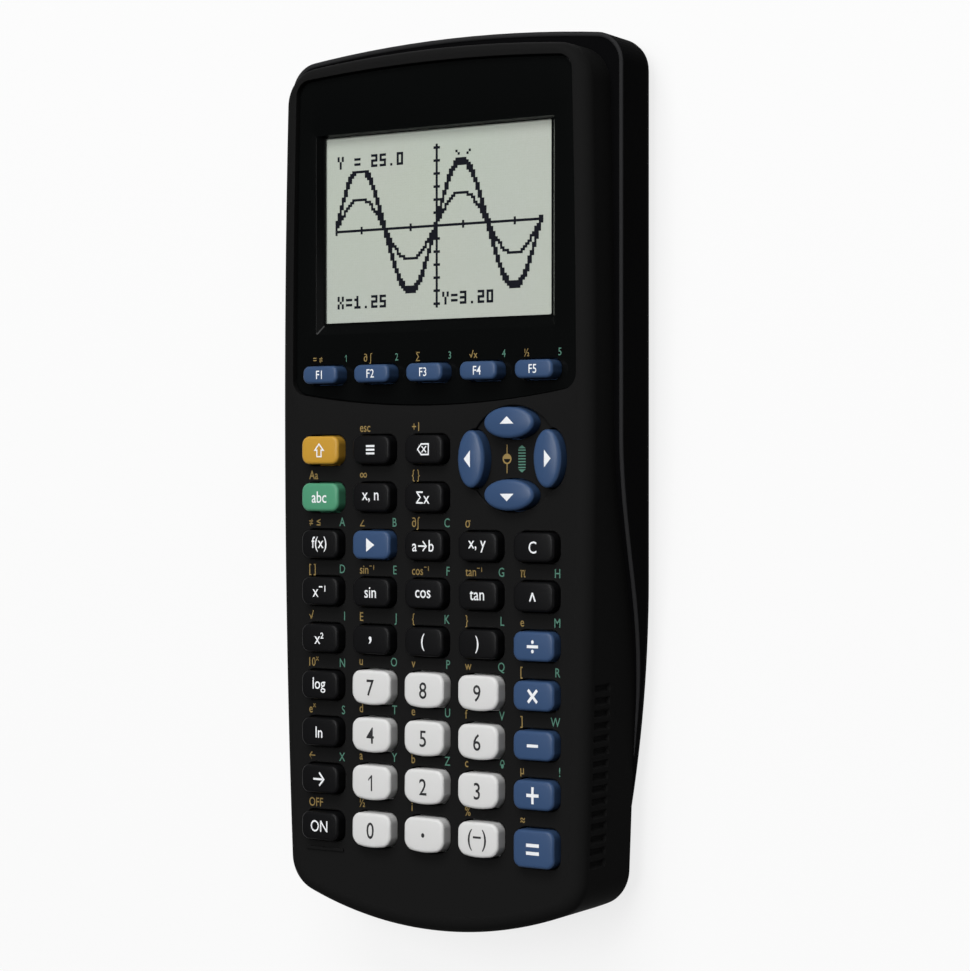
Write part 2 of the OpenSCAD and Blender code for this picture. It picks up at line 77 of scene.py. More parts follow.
# Plan: the height at which the case is widest, the radii of its sides, top, chin and corners, and
# the thickness of its walls. The parting line starts to sweep down at sweep_top.
widest = front_low[1] + 109 * MM
side_radius = 2250 * MM
top_radius, chin_radius, case_corner = 300 * MM, 85 * MM, 8 * MM
side_wall, chin_wall = 2.8 * MM, 4.7 * MM
sweep_top, sweep_length = 10 * MM, 55 * MM


def arc(centre, radius, start, end, count):
    """Points on a circle from one angle to the other, without the last one."""
    angle = start + (end - start) * np.arange(count) / count
    return np.stack([centre[0] + radius * np.cos(angle), centre[1] + radius * np.sin(angle)], axis=1)


def corner_between(first, first_radius, second, second_radius, radius, upper):
    """Centre of a corner circle that touches two circles from inside: circles about the same centres,
    smaller by its radius, cross there. They cross twice, and the upper or the lower crossing is used."""
    reach = first_radius - radius
    gap = second - first
    span = np.hypot(*gap)
    along = (reach**2 - (second_radius - radius) ** 2 + span**2) / (2 * span)
    across = np.array([-gap[1], gap[0]]) / span * math.sqrt(reach**2 - along**2)
    middle = first + gap / span * along
    return max(middle + across, middle - across, key=lambda point: point[1] if upper else -point[1])


def plan_loop(half_width, high, low, arch_radius, low_radius, corner, side_count=40):
    """A plan as a closed loop, from the middle of its lower edge round by the right.

    Five arcs that meet smoothly: lower edge, corner, long bowed side, corner and arched top.
    """
    chin = np.array([0.0, low + low_radius])
    side = np.array([half_width - side_radius, widest])
    arch = np.array([0.0, high - arch_radius])
    foot = corner_between(chin, low_radius, side, side_radius, corner, upper=False)
    head = corner_between(arch, arch_radius, side, side_radius, corner, upper=True)
    meetings = ((chin, foot), (side, foot), (side, head), (arch, head))
    turns = [math.atan2(*(b - a)[::-1]) for a, b in meetings]
    right = np.concatenate([
        arc(chin, low_radius, -math.pi / 2, turns[0], 36),
        arc(foot, corner, turns[0], turns[1], 16),
        arc(side, side_radius, turns[1], turns[2], side_count),
        arc(head, corner, turns[2], turns[3], 16),
        arc(arch, arch_radius, turns[3], math.pi / 2, 30),
        [[0.0, high]],
    ])
    return np.concatenate([right, right[1:-1][::-1] * [-1, 1]])


def front_loop(inset, side=0.0):
    """Plan of the front case, drawn in by inset all round, by half of that at the top, and by side
    more at the sides."""
    return plan_loop(front_high[0] - inset - side, front_high[1] - inset / 2, front_low[1] + inset,
                     top_radius, chin_radius, case_corner - inset, side_count=480)


def hollow_loop():
    """Plan of the hollow under the key plate. The wall round it is thicker at the chin."""
    return plan_loop(front_high[0] - side_wall, front_high[1] - side_wall, front_low[1] + chin_wall,
                     top_radius, chin_radius, 5 * MM, side_count=480)


def part_line(y):
    """Height of the parting line: two levels joined by a smooth step, 3t^2 - 2t^3."""
    t = np.clip((sweep_top - y) / sweep_length, 0, 1)
    return part_top - (part_top - part_bottom) * t * t * (3 - 2 * t)


def level(loop, z):
    """A plan loop lifted to a height, which may be one number or one for each point."""
    return np.column_stack([loop, np.broadcast_to(z, len(loop))])


def rolled(loop_at, width, drop, top, degrees=(0, 22, 45, 67, 90)):
    """Loops of a rolled edge, a quarter of an ellipse: at an angle a, the loop that loop_at gives for
    a growth of width (1 - sin a), at drop (1 - cos a) below the top."""
    return [level(loop_at(width * (1 - math.sin(a))), top - drop * (1 - math.cos(a)))
            for a in np.radians(degrees)]


def box_loop(x0, x1, y0, y1, radius, count=6):
    """Rectangle with quarter circles at its corners, counted from the upper right."""
    x0, x1, y0, y1 = x0 + radius, x1 - radius, y0 + radius, y1 - radius
    return np.concatenate([arc(c, radius, turn * math.pi / 2, (turn + 1) * math.pi / 2, count)
                           for turn, c in enumerate(((x1, y1), (x0, y1), (x0, y0), (x1, y0)))])


class Skin:
    """Collects patches of one piece, welds them and makes the mesh."""

    def __init__(self):
        self.points, self.faces, self.count = [], [], 0

    def add(self, points, faces):
        self.points.append(np.asarray(points, float))
        self.faces.extend([tuple(int(i) + self.count for i in face) for face in faces])
        self.count += len(points)

    def loft(self, loops, closed=True):
        """Quads between loops of as many points each. Outside lies right of the way they climb."""
        rows, width = len(loops), len(loops[0])
        grid = np.arange(rows * width).reshape(rows, width)
        nxt = np.roll(grid, -1, axis=1)
        quads = np.stack([grid[:-1], nxt[:-1], nxt[1:], grid[1:]], axis=-1)
        if not closed:
            quads = quads[:, :-1]
        self.add(np.concatenate(loops), quads.reshape(-1, 4))

    def fill(self, outer, holes, z, up=True):
        """Flat area between a loop and its holes, by constrained triangulation."""
        loops = [outer] + holes
        flat = np.concatenate(loops) / MM
        ends = np.cumsum([len(loop) for loop in loops])
        rings = [list(range(end - len(loop), end)) for loop, end in zip(loops, ends.tolist())]
        verts, _, faces, _, _, within = delaunay_2d_cdt(
            [Vector(p) for p in flat.tolist()], [], rings, 1, 1e-7)
        points = level(np.array([tuple(v) for v in verts]) * MM, z)
        kept = [face if up else face[::-1] for face, inside in zip(faces, within) if inside == [0]]
        self.add(points, kept)

    def cap(self, loop3, point, up=True):
        """A fan from a loop to one point."""
        n = len(loop3)
        ring = np.arange(n)
        nxt = np.roll(ring, -1)
        faces = np.stack([ring, nxt, np.full(n, n)], axis=1)
        self.add(np.vstack([loop3, point]), faces if up else faces[:, ::-1])

    def make(self, name, material, smooth_angle=32, weld=2e-7):
        """One mesh of all patches, welded where they touch, smooth up to an angle in degrees."""
        mesh = bpy.data.meshes.new(name)
        mesh.from_pydata(np.concatenate(self.points).tolist(), [], self.faces)
        work = bmesh.new()
        work.from_mesh(mesh)
        bmesh.ops.remove_doubles(work, verts=work.verts, dist=weld)
        bmesh.ops.dissolve_degenerate(work, edges=work.edges, dist=weld)
        work.to_mesh(mesh)
        work.free()
        mesh.shade_smooth()
        mesh.set_sharp_from_angle(angle=math.radians(smooth_angle))
        mesh.materials.append(material)
        piece = bpy.data.objects.new(name, mesh)
        scene.collection.objects.link(piece)
        return piece


def moulded_grain():
    """Node group: the fine spark-eroded grain of a plastic mould. Gives a normal and a roughness."""
    group = bpy.data.node_groups.new("moulded_grain", "ShaderNodeTree")
    defaults = {"Grain per metre": 2500.0, "Depth": 0.15, "Roughness": 0.5, "Spread": 0.08}
    for label, value in defaults.items():
        socket = group.interface.new_socket(label, in_out="INPUT", socket_type="NodeSocketFloat")
        socket.default_value = value
    group.interface.new_socket("Roughness", in_out="OUTPUT", socket_type="NodeSocketFloat")
    group.interface.new_socket("Normal", in_out="OUTPUT", socket_type="NodeSocketVector")
    nodes, links = group.nodes, group.links
    enter, leave = nodes.new("NodeGroupInput"), nodes.new("NodeGroupOutput")
    place = nodes.new("ShaderNodeTexCoord")
    grain = nodes.new("ShaderNodeTexNoise")
    grain.inputs["Detail"].default_value = 3
    blotch = nodes.new("ShaderNodeTexNoise")
    blotch.inputs["Scale"].default_value = 60
    bump = nodes.new("ShaderNodeBump")
    bump.inputs["Distance"].default_value = 0.00004
    spread = nodes.new("ShaderNodeMath")
    spread.operation = "MULTIPLY_ADD"
    centre = nodes.new("ShaderNodeMath")
    centre.operation = "SUBTRACT"
    centre.inputs[1].default_value = 0.5
    links.new(place.outputs["Object"], grain.inputs["Vector"])
    links.new(place.outputs["Object"], blotch.inputs["Vector"])
    links.new(enter.outputs["Grain per metre"], grain.inputs["Scale"])
    links.new(enter.outputs["Depth"], bump.inputs["Strength"])
    links.new(grain.outputs["Fac"], bump.inputs["Height"])
    links.new(blotch.outputs["Fac"], centre.inputs[0])
    links.new(centre.outputs[0], spread.inputs[0])
    links.new(enter.outputs["Spread"], spread.inputs[1])
    links.new(enter.outputs["Roughness"], spread.inputs[2])
    links.new(spread.outputs[0], leave.inputs["Roughness"])
    links.new(bump.outputs["Normal"], leave.inputs["Normal"])
    return group


grain_group = moulded_grain()


def srgb(r, g, b):
    """A colour written as 0-255 screen values, as the linear numbers that shaders take."""
    value = np.array([r, g, b]) / 255
    return (*np.where(value <= 0.04045, value / 12.92, ((value + 0.055) / 1.055) ** 2.4).tolist(), 1.0)


def plastic(name, colour, roughness, grain, specular, spread=0.08, per_metre=2500.0):
    """Moulded plastic: plain colour, with the mould's grain in its normal and its roughness."""
    material = bpy.data.materials.new(name)
    material.use_nodes = True
    nodes, links = material.node_tree.nodes, material.node_tree.links
    shader = nodes["Principled BSDF"]
    shader.inputs["Base Color"].default_value = srgb(*colour)
    shader.inputs["Specular IOR Level"].default_value = specular
    surface = nodes.new("ShaderNodeGroup")
    surface.node_tree = grain_group
    surface.inputs["Grain per metre"].default_value = per_metre
    surface.inputs["Depth"].default_value = grain
    surface.inputs["Roughness"].default_value = roughness
    surface.inputs["Spread"].default_value = spread
    links.new(surface.outputs["Roughness"], shader.inputs["Roughness"])
    links.new(surface.outputs["Normal"], shader.inputs["Normal"])
    return material


case_black = plastic("case_black", (24, 24, 24), roughness=0.6, grain=0.25, specular=0.008)

# The gap round a cap, its corner radius, and how far its flange reaches out. A number key's upper and
# lower edges bulge.
key_gap, key_radius = 0.3 * MM, 1.8 * MM
key_flange, oval_flange = 0.9 * MM, 0.7 * MM
bulge_above, bulge_below = 0.22 * MM, 0.75 * MM
KEY_ROWS = {
    "function": ["key_f1", "key_f2", "key_f3", "key_f4", "key_f5"],
    "across": ["key_up", "key_down"],
    "upright": ["key_left", "key_right"],
    "gold": ["key_second"],
    "green": ["key_alpha"],
    "blue": ["key_apps", "key_divide", "key_multiply", "key_minus", "key_plus", "key_enter"],
    "number": [f"key_{digit}" for digit in range(10)] + ["key_point", "key_negate"],
    "black": ["key_mode", "key_delete", "key_variable", "key_lists", "key_math", "key_program",
              "key_vars", "key_clear", "key_reciprocal", "key_sin", "key_cos", "key_tan", "key_power",
              "key_square", "key_comma", "key_open_bracket", "key_close_bracket", "key_log", "key_ln",
              "key_store", "key_on"],
}
KIND = {key: kind for kind, keys in KEY_ROWS.items() for key in keys}
arrow_keys = KEY_ROWS["across"] + KEY_ROWS["upright"]


def flange_reach(key):
    """How far a key's flange stands out from its cap. The arrow keys' flanges are narrower."""
    return oval_flange if key in arrow_keys else key_flange


def key_size(key):
    """Middle and half size of a key's cap, from its solid, whose widest part is the flange."""
    low, high = (np.array(corner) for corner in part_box(key))
    return (low[:2] + high[:2]) / 2, (high[:2] - low[:2]) / 2 - flange_reach(key)


def key_loop(key, grow):
    """Outline of a key, grown all round. Arrow keys are ovals. The others are rectangles with
    quarter circles at the corners; a number key's upper and lower edges also bulge."""
    centre, half = key_size(key)
    if key in arrow_keys:
        angle = np.linspace(0, 2 * math.pi, 72, endpoint=False)
        return centre + np.stack([np.cos(angle), np.sin(angle)], axis=1) * (half + grow)
    bulge = np.array([bulge_below, bulge_above]) if KIND[key] == "number" else np.zeros(2)
    straight_half = half - [0, bulge.sum() / 2]
    radius = min(key_radius, half[1] * 0.8)
    core = straight_half - radius
    corners = [arc(sign * core, radius + grow, turn * math.pi / 2, (turn + 1) * math.pi / 2, 11)
               for turn, sign in enumerate(([1, 1], [-1, 1], [-1, -1], [1, -1]))]
    sides = [np.linspace(a[-1], b[0], 8)[1:-1] for a, b in zip(corners, corners[1:] + corners[:1])]
    loop = np.concatenate([part for pair in zip(corners, sides) for part in pair])
    x, y = loop.T
    swell = 1 - (x / (half[0] + grow)) ** 2
    share = np.abs(y) / (straight_half[1] + grow)
    lift = np.where(y > 0, bulge[1], -bulge[0]) * share * swell
    shift = (bulge[0] - bulge[1]) / 2
    return centre + np.stack([x, y + lift + shift], axis=1)


# The rolled lip of a key hole, the narrow flat left round it, and the underside of the key plate.
lip, margin = 0.25 * MM, 0.06 * MM
plate_under = face_z - 3.1 * MM
panel_low, panel_high = (np.array(corner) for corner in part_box("display_bezel"))
panel_thick = 1.2 * MM
window_low, window_high = (np.array(corner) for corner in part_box("display_window"))


def panel_loop(grow):
    """Plan of the display panel: an arched top, a bowed lower edge, bowed sides and small corners."""
    return plan_loop(panel_high[0] + 0.4 * MM + grow, panel_high[1] + grow, panel_low[1] - grow,
                     370 * MM, 190 * MM + grow, 3.2 * MM + grow)


pad_centre = np.mean([key_size(key)[0] for key in arrow_keys], axis=0)
dish_radius = 10.75 * MM
dish_drop = 0.7 * MM


def pad_rim(grow):
    """Rim of the dish and the arrow holes together, seen from the middle of the pad: the far side of
    an oval where one reaches past the dish, and the dish's circle elsewhere."""
    angle = np.linspace(0, 2 * math.pi, 720, endpoint=False)
    ray = np.stack([np.cos(angle), np.sin(angle)], axis=1)
    reach = np.full(720, dish_radius + grow)
    for key in arrow_keys:
        centre, half = key_size(key)
        half = half + key_gap + margin + grow
        at, step = (pad_centre - centre) / half, ray / half
        a, b, c = (step**2).sum(1), 2 * (step * at).sum(1), (at**2).sum() - 1
        room = b * b - 4 * a * c
        edge = (-b + np.sqrt(np.maximum(room, 0))) / (2 * a)
        reach = np.where((room > 0) & (edge > 0), np.maximum(reach, edge), reach)
    return pad_centre + ray * reach[:, None]


# How far in and how far down the edge of the face is rounded, and how far the wall widens below it.
edge_width, edge_drop, flare = 3.3 * MM, 2.6 * MM, 1.4 * MM
wall_top = face_z - edge_drop
groove_first, groove_pitch, groove_count = front_low[1] + 51.2 * MM, 2.5 * MM, 15
groove_depth, groove_length = 0.7 * MM, 5.6 * MM


def notch(y):
    """Share of a grip groove's depth at y: flat-bottomed grooves with sloping sides, evenly spaced."""
    step = np.clip(np.round((groove_first - y) / groove_pitch), 0, groove_count - 1)
    away = np.abs(y - (groove_first - step * groove_pitch))
    return np.clip((0.75 * MM - away) / (0.3 * MM), 0, 1)


def wall_at(z, groove=0.0):
    """The side wall at a height, which may differ from point to point: it flares in proportion to
    the depth below the rounded edge, and a groove cuts into it."""
    narrow, wide = front_loop(0, flare), front_loop(0)
    z = np.broadcast_to(z, len(narrow))
    share = (wall_top - z) / (wall_top - part_bottom)
    loop = narrow + (wide - narrow) * share[:, None]
    loop[:, 0] -= np.sign(loop[:, 0]) * groove * notch(loop[:, 1])
    return level(loop, z)


def build_front_case():
    """Outer skin up to the face, inner skin, and the holes between, each patch as its comment says."""
    skin = Skin()
    hollow = hollow_loop()
    # Outside: wall from the parting line up, then the rounded edge on to the flat face.
    foot_z = part_line(front_loop(0)[:, 1])
    groove_z = wall_top - groove_length
    loops = [wall_at(foot_z + (groove_z - foot_z) * share) for share in (0, 0.4, 0.8, 1)]
    loops += [wall_at(groove_z + 0.3 * MM, groove_depth), wall_at(wall_top - 0.6 * MM, groove_depth),
              wall_at(wall_top - 0.2 * MM)]
    loops += rolled(lambda inset: front_loop(inset, flare), edge_width, edge_drop, face_z,
                    np.linspace(90, 0, 15))
    inner = front_loop(edge_width + 0.05 * MM, flare)
    loops.append(level(inner, face_z))
    skin.loft(loops)
    # Rim on the parting line, and the inside of the wall.
    skin.loft([level(hollow, plate_under), level(hollow, part_line(hollow[:, 1])), loops[0]])
    # Holes for the keys that stand alone, each with a rolled lip.
    plain = [key for key in KIND if key not in arrow_keys and KIND[key] != "function"]
    holes_top, holes_under = [], []
    for key in plain:
        flat = key_loop(key, key_gap + lip + margin)
        foot = key_loop(key, key_gap)
        edge = rolled(lambda grow: key_loop(key, key_gap + grow), lip, lip, face_z)
        skin.loft([level(flat, face_z)] + edge + [level(foot, plate_under)])
        holes_top.append(flat)
        holes_under.append(foot)
    # Pocket for the panel, with the opening that its frame reaches through.
    pocket_gap, pocket_lip = 0.12 * MM, 0.1 * MM
    pocket = panel_loop(pocket_gap)
    ledge_z = panel_high[2] - panel_thick
    pocket_flat = panel_loop(pocket_gap + pocket_lip)
    edge = rolled(lambda grow: panel_loop(pocket_gap + grow), pocket_lip, pocket_lip, face_z,
                  (0, 30, 60, 90))
    skin.loft([level(pocket_flat, face_z)] + edge + [level(pocket, ledge_z)])
    opening = box_loop(window_low[0], window_high[0], window_low[1], window_high[1], 0.1 * MM)
    function_holes = [key_loop(key, key_gap) for key in KEY_ROWS["function"]]
    skin.fill(pocket, [opening] + function_holes, ledge_z)
    skin.loft([level(opening, ledge_z), level(opening, plate_under)])
    for hole in function_holes:
        skin.loft([level(hole, ledge_z), level(hole, plate_under)])
    # Dish: its rim takes in the arrow holes, and its floor lies between them.
    rim_flat = pad_rim(lip + margin)
    dish_z = face_z - dish_drop
    rim_foot = pad_rim(0)
    edge = rolled(pad_rim, lip, lip, face_z)
    skin.loft([level(rim_flat, face_z)] + edge + [level(rim_foot, dish_z)])
    arrow_holes = [key_loop(key, key_gap) for key in arrow_keys]
    skin.fill(rim_foot, arrow_holes, dish_z)
    for hole in arrow_holes:
        skin.loft([level(hole, dish_z), level(hole, plate_under)])
    # Raised bar under the key at the lower left.
    centre, half = key_size("key_on")
    bar_half, bar_y, bar_z = np.array([4.75, 0.35]) * MM, centre[1] - half[1] - 2 * MM, face_z + 0.4 * MM
    bar = [box_loop(centre[0] - bar_half[0] + s, centre[0] + bar_half[0] - s,
                    bar_y - bar_half[1] + s, bar_y + bar_half[1] - s, 0.2 * MM) for s in (0, 0, 0.1 * MM)]
    skin.loft([level(loop, z) for loop, z in zip(bar, (face_z, bar_z - 0.1 * MM, bar_z))])
    skin.fill(bar[2], [], bar_z)
    skin.fill(inner, holes_top + [pocket_flat, rim_flat, bar[0]], face_z)
    skin.fill(hollow, holes_under + [opening] + function_holes + arrow_holes, plate_under, up=False)
    return skin.make("front_case_shell", case_black)


front_piece = build_front_case()
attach(front_piece, "case")
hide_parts("front_case")

# ---------------------------------------------------------------------------
# Keys: fifty moulded caps that stand 2.4 mm out of the face. The arrow keys are
# ovals; the others have rounded corners, a soft edge and a slight crown. Each
# sits on a flange under the face, which keeps it in.
# ---------------------------------------------------------------------------
KEY_COLOURS = {"key_blue": (51, 73, 106), "key_black": (17, 17, 18), "key_light": (204, 204, 203),
               "key_gold": (184, 140, 50), "key_green": (74, 140, 108)}
KEY_SLOTS = {"function": "key_blue", "across": "key_blue", "upright": "key_blue", "blue": "key_blue",
             "gold": "key_gold", "green": "key_green", "number": "key_light", "black": "key_black"}
key_finish = {slot: plastic(slot, colour, roughness=0.34, grain=0.12,
                            specular=0.09 if slot == "key_black" else 0.22, spread=0.06,
                            per_metre=3200.0)
              for slot, colour in KEY_COLOURS.items()}


def crown(key, points):
    """How far the top of a key lies under its highest point: a shallow dome. With x and y as shares
    of the half size, the drop is a sag times 0.55 x^2 + 0.45 y^2."""
    centre, half = key_size(key)
    x, y = ((points - centre) / half).T
    sag = 0.9 * MM if key in arrow_keys else 0.32 * MM
    return sag * (0.55 * x**2 + 0.45 * y**2)


def build_key(key):
    """Profile carried round the key's outline: hollow skirt, flange, wall, a rolled edge, then rings
    that shrink towards the middle and follow the crown."""
    centre = key_size(key)[0]
    roll = 0.8 * MM if key in arrow_keys else 0.6 * MM
    fall = 0.55 * MM
    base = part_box(key)[0][2] + 0.1 * MM
    hollow_z = base + 0.7 * MM
    foot, flange = key_loop(key, 0), key_loop(key, flange_reach(key))
    skirt = key_loop(key, flange_reach(key) - 0.8 * MM)
    loops = [level(skirt, hollow_z), level(skirt, base), level(flange, base),
             level(flange, base + 1.1 * MM), level(foot, base + 1.2 * MM),
             level(foot, key_top - fall - 0.9 * MM)]
    for a in np.radians(np.linspace(0, 90, 8)):
        inward = key_loop(key, -roll * (1 - math.cos(a)))
        loops.append(level(inward, key_top - crown(key, inward) - fall * (1 - math.sin(a))))
    rim = key_loop(key, -roll)
    for share in (0.82, 0.62, 0.42, 0.22, 0.08):
        ring = centre + (rim - centre) * share
        loops.append(level(ring, key_top - crown(key, ring)))
    skin = Skin()
    skin.loft(loops)
    skin.cap(loops[-1], [*centre, key_top])
    skin.cap(loops[0], [*centre, hollow_z], up=False)
    slot = KEY_SLOTS[KIND[key]]
    cap = skin.make("cap_" + key[4:], key_finish[slot], smooth_angle=40)
    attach(cap, "press_" + key[4:])
    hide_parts(key)


for key in KIND:
    build_key(key)

# ---------------------------------------------------------------------------
# Display panel: a glossy black frame let into the case, with a bevelled well
# round the liquid crystal, and five holes for the function keys.
# ---------------------------------------------------------------------------
panel_gloss = plastic("panel_gloss", (7, 8, 8), roughness=0.16, grain=0.03, specular=0.12, spread=0.03,
                      per_metre=900.0)
# Lower left and upper right corner of the area that shows.
view_low, view_high = np.array([-27.7, 33.5]) * MM, np.array([27.7, 72.6]) * MM
window_top = window_high[2]


def build_panel():
    """A plate with a rolled edge, a well that slopes down to the window, and holes with rolled lips."""
    skin = Skin()
    top = panel_high[2]
    bottom = top - panel_thick
    edge = rolled(lambda inset: panel_loop(-inset), 0.25 * MM, 0.25 * MM, top, (90, 60, 30, 0))
    outline = panel_loop(-0.35 * MM)
    skin.loft([level(panel_loop(0), bottom)] + edge + [level(outline, top)])
    well_x, well_low, well_high = view_high[0] + 1.5 * MM, view_low[1] - 2.5 * MM, view_high[1] + 0.5 * MM
    rim = box_loop(-well_x, well_x, well_low, well_high, 0.5 * MM)
    foot = box_loop(view_low[0], view_high[0], view_low[1], view_high[1], 0.4 * MM)
    depth = top - window_top - 0.02 * MM
    slope = [level(rim + (foot - rim) * along, top - depth * down)
             for along, down in ((-0.03, 0), (0.04, 0.015), (0.1, 0.08), (1, 1))]
    skin.loft(slope + [level(foot, bottom)])
    holes_top, holes_under = [], []
    for key in KEY_ROWS["function"]:
        flat, hole = key_loop(key, key_gap + 0.25 * MM), key_loop(key, key_gap)
        edge = rolled(lambda grow: key_loop(key, key_gap + grow), 0.2 * MM, 0.2 * MM, top, (0, 30, 60, 90))
        skin.loft([level(flat, top)] + edge + [level(hole, bottom)])
        holes_top.append(flat)
        holes_under.append(hole)
    skin.fill(outline, [slope[0][:, :2]] + holes_top, top)
    skin.fill(panel_loop(0), [foot] + holes_under, bottom, up=False)
    piece = skin.make("panel", panel_gloss)
    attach(piece, "case")
    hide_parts("display_bezel")


build_panel()

# ---------------------------------------------------------------------------
# Key legends: white or dark ink printed on the caps. Digits, operators and the
# usual signs of a calculator, each following the crown of its cap.
# ---------------------------------------------------------------------------
def ink(name, colour):
    """Pad-printed ink, slightly matt."""
    return plastic(name, colour, roughness=0.5, grain=0.1, specular=0.2, spread=0.05, per_metre=3000.0)


ink_white = ink("ink_white", (226, 228, 230))
ink_dark = ink("ink_dark", (40, 40, 42))
print_rise = 0.02 * MM
SIGNS = {
    "key_f1": "F1", "key_f2": "F2", "key_f3": "F3", "key_f4": "F4", "key_f5": "F5",
    "key_second": "⇧", "key_mode": "☰", "key_delete": "⌫", "key_alpha": "abc", "key_variable": "x, n",
    "key_lists": "Σx", "key_math": "f(x)", "key_apps": "▶", "key_program": "a→b", "key_vars": "x, y",
    "key_clear": "C", "key_reciprocal": "x⁻¹", "key_sin": "sin", "key_cos": "cos", "key_tan": "tan",
    "key_power": "^", "key_square": "x²", "key_comma": ",", "key_open_bracket": "(",
    "key_close_bracket": ")", "key_divide": "÷", "key_log": "log", "key_multiply": "×", "key_ln": "ln",
    "key_minus": "−", "key_store": "→", "key_plus": "+", "key_on": "ON", "key_point": ".",
    "key_negate": "(−)", "key_enter": "=", **{f"key_{digit}": str(digit) for digit in range(10)},
}
# Height of a capital in millimetres, where it isn't the usual one.
BIG_SIGNS = {"key_divide": 4.4, "key_multiply": 4.6, "key_minus": 4.4, "key_plus": 4.8, "key_enter": 5.0,
             "key_power": 3.0, "key_comma": 4.2, "key_point": 5.0, "key_store": 3.2, "key_second": 2.6,
             "key_open_bracket": 2.6, "key_close_bracket": 2.6, "key_negate": 3.2, "key_apps": 2.1,
             "key_mode": 2.3, "key_delete": 2.3, "key_f1": 1.75, "key_f2": 1.75, "key_f3": 1.75,
             "key_f4": 1.75, "key_f5": 1.75}


def lettering(text, capital, width_share=0.84, weight=0.012):
    """Points in a plane and faces of a line of text, with capitals of that height, its left end and
    its base line at zero. It comes from the built-in font, drawn in and a little thickened."""
    if text == "1":
        # The font's one is a bare bar, so this one gets a flag.
        shape = np.array([[0.3, 0], [0.42, 0], [0.42, 1], [0.32, 1], [0.3, 0.97], [0.06, 0.74],
                          [0.06, 0.62], [0.3, 0.82]])
        faces = [(0, 1, 2), (0, 2, 4), (4, 2, 3), (4, 5, 6), (4, 6, 7)]
        return shape * [width_share * capital, capital], faces
    curve = bpy.data.curves.new("line", "FONT")
    curve.body = text
    curve.size = 1.0
    curve.offset = weight
    curve.resolution_u = 3
    line = bpy.data.objects.new("line", curve)
    scene.collection.objects.link(line)
    mesh = bpy.data.meshes.new_from_object(line.evaluated_get(bpy.context.evaluated_depsgraph_get()))
    flat = np.empty(len(mesh.vertices) * 3)
    mesh.vertices.foreach_get("co", flat)
    faces = [tuple(face.vertices) for face in mesh.polygons]
    bpy.data.objects.remove(line)
    bpy.data.curves.remove(curve)
    bpy.data.meshes.remove(mesh)
    points = flat.reshape(-1, 3)[:, :2] * capital / 0.69 * [width_share, 1]
    return points - [points[:, 0].min(), 0], faces


def on_cap(key, points, faces, skin):
    """Lifts a flat shape on to the crown of a key, a hair above it. Triangles with an edge over
    0.6 mm are first split in four at the middles of their edges, until the shape can follow it."""
    corners = points[np.array(faces)]
    while True:
        after = np.roll(corners, -1, axis=1)
        long = np.linalg.norm(after - corners, axis=2).max(axis=1) > 0.6 * MM
        if not long.any():
            break
        a, b, c = corners[long].swapaxes(0, 1)
        ab, bc, ca = (corners[long] + after[long]).swapaxes(0, 1) / 2
        quarters = ((a, ab, ca), (ab, b, bc), (ca, bc, c), (ab, bc, ca))
        corners = np.concatenate([corners[~long]] + [np.stack(three, axis=1) for three in quarters])
    flat = corners.reshape(-1, 2)
    skin.add(level(flat, key_top - crown(key, flat) + print_rise), np.arange(len(flat)).reshape(-1, 3))


def build_legends():
    """One sign for each key, centred on it, except that an arrow sits near the outer side."""
    for key in KIND:
        centre, half = key_size(key)
        skin = Skin()
        if key in arrow_keys:
            # A triangle that points outward, near the outer side of the oval.
            out = np.sign(np.round((centre - pad_centre) / MM)) * (half < half.max() - 1e-5)
            side = out[::-1]
            tip, wide = out * 0.75 * MM, side * (1.6 if key in KEY_ROWS["across"] else 1.75) * MM
            middle = centre + out * 0.5 * MM
            triangle = np.array([middle - tip + wide, middle + tip, middle - tip - wide])
            upward = np.cross(triangle[1] - triangle[0], triangle[2] - triangle[0]) > 0
            on_cap(key, triangle, [(0, 1, 2) if upward else (0, 2, 1)], skin)
        else:
            number = KIND[key] == "number"
            size = BIG_SIGNS.get(key, 3.3 if number else 2.35) * MM
            points, faces = lettering(SIGNS[key], size, 0.84, 0.006)
            middle = (points.min(axis=0) + points.max(axis=0)) / 2
            on_cap(key, points - middle + centre, faces, skin)
        print_ink, slot = (ink_dark, "case_rear") if KIND[key] == "number" else (ink_white, "key_light")
        legend = skin.make("sign_" + key[4:], print_ink)
        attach(legend, "press_" + key[4:])


build_legends()

# ---------------------------------------------------------------------------
# Case markings: the second meaning of each key, printed on the case in gold at
# its upper left, and a letter in green at its upper right.
# ---------------------------------------------------------------------------
ink_gold = ink("ink_gold", (140, 118, 70))
ink_green = ink("ink_green", (76, 120, 104))
GOLD_SIGNS = {
    "key_mode": "esc", "key_delete": "+1", "key_alpha": "Aa", "key_variable": "∞",
    "key_lists": "{ }", "key_math": "≠ ≤", "key_apps": "∠", "key_program": "∂∫", "key_vars": "σ",
    "key_reciprocal": "[ ]", "key_sin": "sin⁻¹", "key_cos": "cos⁻¹", "key_tan": "tan⁻¹",
    "key_power": "π", "key_square": "√",
    "key_comma": "E", "key_open_bracket": "{", "key_close_bracket": "}", "key_divide": "e",
    "key_log": "10ˣ", "key_7": "u", "key_8": "v", "key_9": "w", "key_multiply": "[", "key_ln": "eˣ",
    "key_4": "d", "key_5": "e", "key_6": "f", "key_minus": "]", "key_store": "←", "key_1": "a",
    "key_2": "b", "key_3": "c", "key_plus": "μ", "key_on": "OFF", "key_0": "½", "key_point": "i",
    "key_negate": "%", "key_enter": "≈",
}
